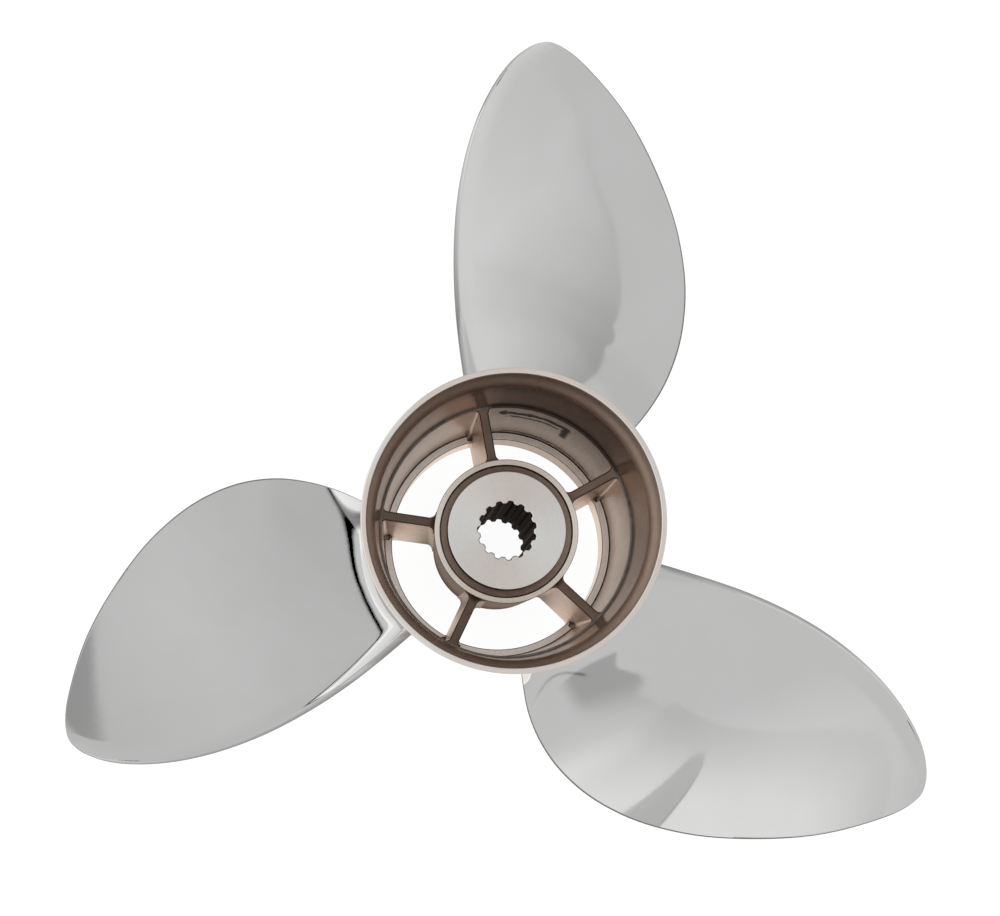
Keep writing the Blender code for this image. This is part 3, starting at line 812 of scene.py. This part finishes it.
def rim_steel():
    """Aft ring: a satin pinkish rim with painted highlights, between the buffed outside and the brown taper inside,
    which has painted light, lighter to the right and the left.
    """
    paint = Paint("rim_satin", (0.74, 0.68, 0.64), 0.24)
    azimuth, depth, _ = paint.around()
    inside = inside_barrel(paint) * depth.smooth(0.25, 0.7)
    rim = depth.smooth(1.6, 0.7)
    mottle = paint.noise(6.0, detail=4.0)
    streaks = paint.noise(2.4, (1.0, 1.0, 6.0), detail=3.0)
    # painted highlights: lighter spots on the rim at the upper left, the right and the lower left
    rim_highlight = azimuth.line(148, 22) + azimuth.line(10, 30) * 0.5 + azimuth.line(-132, 26) * 0.4
    satin_and_highlight = paint.mix((mottle * 0.5 + rim_highlight).math("MINIMUM", 1.0), (0.97, 0.86, 0.78), (1.0, 0.99, 0.96))
    # painted light: the brown taper lighter to the right and the left, darkest above and below
    tone = side_light(azimuth, 0.44, 0.22, 0.28) + (streaks - 0.5) * 0.25
    brown = paint.mix(tone.math("MAXIMUM", 0.0), (0.30, 0.228, 0.195), (0.75, 0.60, 0.52))
    paint.feed("Base Color", paint.mix(inside, paint.mix(rim, MIRROR, satin_and_highlight), brown))
    paint.feed("Roughness", 0.06 + rim * 0.16 + inside * 0.20 + mottle * 0.06)
    paint.bump(mottle, 0.03)
    paint.shader.inputs["Specular Tint"].default_value = (0.90, 0.80, 0.73, 1.0)
    return paint.material


def hub_steel():
    """Hub tube: a turned end ring with a painted sheen, lighter to the left and the right, and a brown cast outside.
    """
    paint = Paint("hub_satin", (0.66, 0.61, 0.57), 0.28)
    azimuth, depth, radius = paint.around()
    mottle = paint.noise(7.0, detail=4.0)
    rings = paint.node("ShaderNodeTexNoise", {"noise_dimensions": "1D"}, W=radius, Scale=9.0, Detail=2.0)
    outside = (depth - HUB_DEPTH * MM).smooth(0.25, 0.7)
    # painted sheen: the end ring lighter to the left and the right than above and below
    tone = side_light(azimuth, 0.35, 0.0, 0.30) + (mottle - 0.5) * 0.6
    turned_end = paint.mix(tone.math("MAXIMUM", 0.0), (0.74, 0.64, 0.56), (1.0, 0.95, 0.87))
    cast = paint.mix(mottle, (0.22, 0.165, 0.135), (0.42, 0.335, 0.285))
    paint.feed("Base Color", paint.mix(outside, turned_end, cast))
    paint.feed("Roughness", 0.20 + rings * 0.10 + outside * 0.06)
    paint.bump((1 - outside) * rings, 0.015)
    paint.shader.inputs["Specular Tint"].default_value = (0.60, 0.50, 0.44, 1.0)
    return paint.material


def turned_face():
    """Sleeve: the flange is faced on a lathe, with fine rings and a painted conical sheen, and the bore is black."""
    paint = Paint("turned_face", (0.70, 0.67, 0.64), 0.30)
    azimuth, depth, radius = paint.around()
    rings = paint.node("ShaderNodeTexNoise", {"noise_dimensions": "1D"}, W=radius, Scale=7.0, Detail=3.0)
    mottle = paint.noise(4.0, detail=4.0)
    bore = radius.smooth(11.5, 11.3) * (depth - FLANGE_DEPTH * MM).smooth(0.25, 0.6)
    # painted sheen: the flange lighter to the left and the right than above and below
    tone = side_light(azimuth + 8, 0.45, 0.05, 0.42) + (rings - 0.5) * 0.35 + (mottle - 0.5) * 0.25
    face = paint.mix(tone.math("MAXIMUM", 0.0), (0.83, 0.765, 0.71), (1.0, 1.0, 0.98))
    paint.feed("Base Color", paint.mix(bore, face, (0.02, 0.017, 0.015)))
    paint.feed("Roughness", 0.24 + rings * 0.10 - bore * 0.14)
    paint.bump((1 - bore) * rings, 0.010)
    paint.shader.inputs["Anisotropic"].default_value = 0.7
    paint.shader.inputs["Specular Tint"].default_value = (0.0, 0.0, 0.0, 1.0)
    return paint.material


def dark_rubber():
    """Bush: brown moulded rubber with a dull skin, with painted light to the left and the right, and painted shade
    along its two rims, next to the hub tube and the sleeve.
    """
    paint = Paint("dark_rubber", (0.20, 0.15, 0.13), 0.6, metallic=0.0)
    azimuth, _, radius = paint.around()
    dust = paint.noise(3.0, detail=5.0)
    # painted light: lighter to the right and the left, darkest above and below
    tone = side_light(azimuth, 0.4, 0.1, 0.3) + (dust - 0.5) * 0.6
    colour = paint.mix(tone.math("MAXIMUM", 0.0), (0.30, 0.205, 0.16), (0.72, 0.55, 0.44))
    # painted shade: dark along both edges of the groove, next to the hub tube and the flange
    rim_shade = radius.smooth(23.9, 24.5) + radius.smooth(22.3, 21.7)
    paint.feed("Base Color", paint.mix(rim_shade.math("MINIMUM", 1.0) * 0.85, colour, (0.04, 0.027, 0.02)))
    paint.feed("Roughness", 0.5 + dust * 0.3)
    paint.bump(dust, 0.08)
    return paint.material


# Build

blade_points, edge_shading = blade_surface()
blades = [blade(k + 1, blade_points, edge_shading) for k in range(len(BLADE_ANGLES))]
ring = aft_ring()
tube = barrel()
web_points = strut_surface()
webs = [strut(k + 1, web_points) for k in range(STRUT_COUNT)]
inner_tube = hub_tube()
rubber_ring = bush()
drive = sleeve()

finish = [(blades, mirror_steel()), ([ring], rim_steel()), ([tube], brown_steel()), (webs, web_steel()),
          ([inner_tube], hub_steel()), ([rubber_ring], dark_rubber()), ([drive], turned_face())]
for pieces, material in finish:
    for piece in pieces:
        piece.data.materials.append(material)
        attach(piece, "root")

# Stage


def surround_light(paint):
    """Brightness of the studio's walls by azimuth and elevation in degrees. Azimuth is turned, so its jump from 180
    to -180 falls between two blades. The studio is light grey with broad soft patches, brighter beyond the upper
    blade's trailing edge and below the right blade, and has a few darker screens."""
    turned_place = paint.node("ShaderNodeVectorRotate", {"rotation_type": "Z_AXIS"},
                              Vector=paint.place(), Angle=math.radians(STUDIO_TURN))
    x, y, z = paint.split(paint.node("ShaderNodeVectorMath", {"operation": "NORMALIZE"}, turned_place))
    azimuth = y.math("ARCTAN2", x) * (180 / math.pi)
    elevation = z.math("ARCSINE") * (180 / math.pi)

    # walls: one tone for each blade's side of the studio, with a broad soft lamp behind the left blade
    left = azimuth.smooth(75, 85)
    right = azimuth.smooth(-55, -65)
    light = 0.80 - left * 0.045 - left * 0.055 * elevation.smooth(-8, -28) + right * 0.02
    light = light + azimuth.line(129, 40) * elevation.line(14, 30) * 0.085
    light = light - azimuth.band(-50, 14, 8) * elevation.smooth(-2, -14) * 0.05

    # upper blade: a screen with a bent edge, darkest low down, that brightens away from its edge
    screen_edge = elevation.curve((-13, 16), (-10, 8), (-7, 1), (-3.5, -4), (0, -5), (5, -3), (12, 3), (18, 9),
                                  (22, 15), (28, 24), (34, 35), (37, 46), (39, 58))
    inward = azimuth - screen_edge
    depth = elevation.curve((-13, 0.25), (-3, 0.226), (5, 0.144), (12, 0.08), (18, 0.03), (22, 0.01), (32, -0.02))
    top = elevation.smooth(38, 2) * 0.13 + 0.05
    screen = (inward * 0.0095 - depth).math("MINIMUM", top) - inward.line(1.0, 2.0) * elevation.smooth(8, 20) * 0.05
    light = light + screen * inward.smooth(-0.4, 0.6) * azimuth.smooth(86, 74)

    # right blade: a lamp below its leading edge, the edge of a screen across its middle, and a dark root
    level = elevation.math("MAXIMUM", 0.0) + elevation.math("MINIMUM", 0.0) * 0.4
    light = light + (level - azimuth * 0.74 - 105).smooth(-14, 14) * right * 0.31
    light = light + azimuth.smooth(-122, -140) * elevation.smooth(4, -6) * 0.12
    fold = elevation.curve((-3, -121), (6, -119), (18, -111), (30, -98), (41, -82)) - azimuth
    light = light - fold.smooth(0, 1.2) * fold.smooth(16, 3) * elevation.smooth(-4, 0) * right * 0.075
    root_top = azimuth.curve((-121, -4), (-117, -6), (-110, -6), (-103, -8.5), (-99, -11), (-90, -13))
    root = (root_top - elevation).smooth(0, 1) * azimuth.smooth(-88.5, -90.5)
    root = root * (elevation + (azimuth + 101) * 0.54).smooth(-28, -21)
    light = light - root * azimuth.smooth(-127, -107) * 0.28
    notch = (azimuth + 75 + (elevation + 42) * 0.95).line(0, 1.1) * elevation.band(-44, -21, 2) * right
    light = light - notch * 0.35

    # left blade: a dark screen high up, seen in its tip, and a dark cable near the barrel with light behind it
    tip_edge = elevation - 31.8 - (azimuth - 145) * 0.27
    tip_screen = tip_edge.smooth(0, 1.0) * tip_edge.smooth(24, 2)
    tip_screen = tip_screen * azimuth.smooth(134, 140) * azimuth.smooth(172, 168)
    light = light - tip_screen * 0.30
    behind = (0 - y).math("ARCTAN2", 0 - x) * (180 / math.pi)
    cable = behind - elevation.curve((-47, 8), (-44, 0), (-42, -4), (-38, -8), (-33, -10.5), (-29, -11), (-24, -9.5),
                                     (-20, -7), (-17, -4.5), (-14, -2))
    near = behind.band(-30, 30, 6) * elevation.smooth(-13.5, -15)
    strip = cable.smooth(0.5, 2.0) * (0.16 - cable.smooth(9, 14) * elevation.smooth(-37, -33) * 0.26)
    return light + near * (strip - cable.line(0, 2.2) * 0.9)


def only_reflections(obj):
    """The object is seen in reflections and doesn't show, shade or light anything otherwise."""
    obj.visible_camera = False
    obj.visible_diffuse = False
    obj.visible_shadow = False
    obj.visible_transmission = False


def lamp_paint(name):
    """Material that only glows, with the colour that is fed to it."""
    paint = Paint(name, (0.0, 0.0, 0.0), 1.0, metallic=0.0)
    paint.shader.inputs["Specular IOR Level"].default_value = 0.0
    paint.shader.inputs["Emission Strength"].default_value = 1.0
    paint.material.cycles.emission_sampling = "NONE"
    return paint


def flat_ring(name, reach, height):
    """Flat ring round the shaft axis, this high above the floor: each radius in reach, turned in equal steps."""
    turn = np.arange(STUDIO_STEPS) * 2 * math.pi / STUDIO_STEPS
    return grid_mesh(name, np.stack([np.outer(reach, np.cos(turn)), np.outer(reach, np.sin(turn)),
                                     np.full((len(reach), STUDIO_STEPS), FLOOR_Z + height)], axis=-1))


def studio():
    """White floor that the camera sees, and what only the steel sees: a dome, a table top that starts beyond the
    propeller's foot, and the shaded table under the barrel."""
    corners = [(x * FLOOR_SIZE, y * FLOOR_SIZE, FLOOR_Z) for x, y in ((-1, -1), (1, -1), (1, 1), (-1, 1))]
    mesh = bpy.data.meshes.new("floor")
    mesh.from_pydata(corners, [], [(0, 1, 2, 3)])
    floor = bpy.data.objects.new("floor", mesh)
    bpy.context.scene.collection.objects.link(floor)
    white = Paint("floor_white", (0.12, 0.12, 0.12), 0.9, metallic=0.0)
    white.shader.inputs["Emission Color"].default_value = (1.0, 1.0, 1.0, 1.0)
    white.shader.inputs["Emission Strength"].default_value = FLOOR_GLOW
    mesh.materials.append(white.material)

    glow = lamp_paint("studio_wall")
    glow.feed("Emission Color", surround_light(glow) * WALL_LIGHT)

    turn = np.arange(STUDIO_STEPS) * 2 * math.pi / STUDIO_STEPS
    rise = np.linspace(DOME_START, DOME_STOP, 40)
    dome = DOME_R * np.stack([np.outer(np.cos(rise), np.cos(turn)), np.outer(np.cos(rise), np.sin(turn)),
                              np.outer(np.sin(rise), np.ones(STUDIO_STEPS))], axis=-1)
    walls = grid_mesh("studio_dome", dome[::-1], caps=((0, "fan"),))
    walls.visible_camera = False
    apron = flat_ring("studio_table", np.geomspace(TABLE_START_R, DOME_R, 60), TABLE_HEIGHT)
    well = flat_ring("studio_well", np.linspace(WELL_START_R, WELL_R, 8), WELL_HEIGHT)
    only_reflections(apron)
    only_reflections(well)

    shaded = lamp_paint("shaded_table")
    azimuth, _, radius = shaded.around()
    open_part = radius.smooth(24, 37) * (0.95 - azimuth.band(25, 100, 20) * 0.4)
    shaded.feed("Emission Color", shaded.mix(open_part, (0.10, 0.085, 0.075), (1.0, 0.95, 0.90)))
    for piece, paint in ((walls, glow), (apron, glow), (well, shaded)):
        piece.data.materials.append(paint.material)

    world = bpy.data.worlds.new("studio")
    bpy.context.scene.world = world
    world.use_nodes = True
    world.node_tree.nodes["Background"].inputs["Color"].default_value = (1.0, 1.0, 1.0, 1.0)
    world.node_tree.nodes["Background"].inputs["Strength"].default_value = 1.0


def camera():
    data = bpy.data.cameras.new("camera")
    data.sensor_width = SENSOR_WIDTH
    data.lens = LENS
    eye = bpy.data.objects.new("camera", data)
    place = Matrix.Translation((CAMERA_X, CAMERA_Y, RIM_Z + CAMERA_HEIGHT))
    tilt = Matrix.Rotation(math.radians(CAMERA_TILT), 4, "X") @ Matrix.Rotation(math.radians(CAMERA_SWING), 4, "Y")
    eye.matrix_world = place @ tilt
    bpy.context.scene.collection.objects.link(eye)
    bpy.context.scene.camera = eye


studio()
camera()
bpy.context.scene.view_settings.view_transform = "Standard"
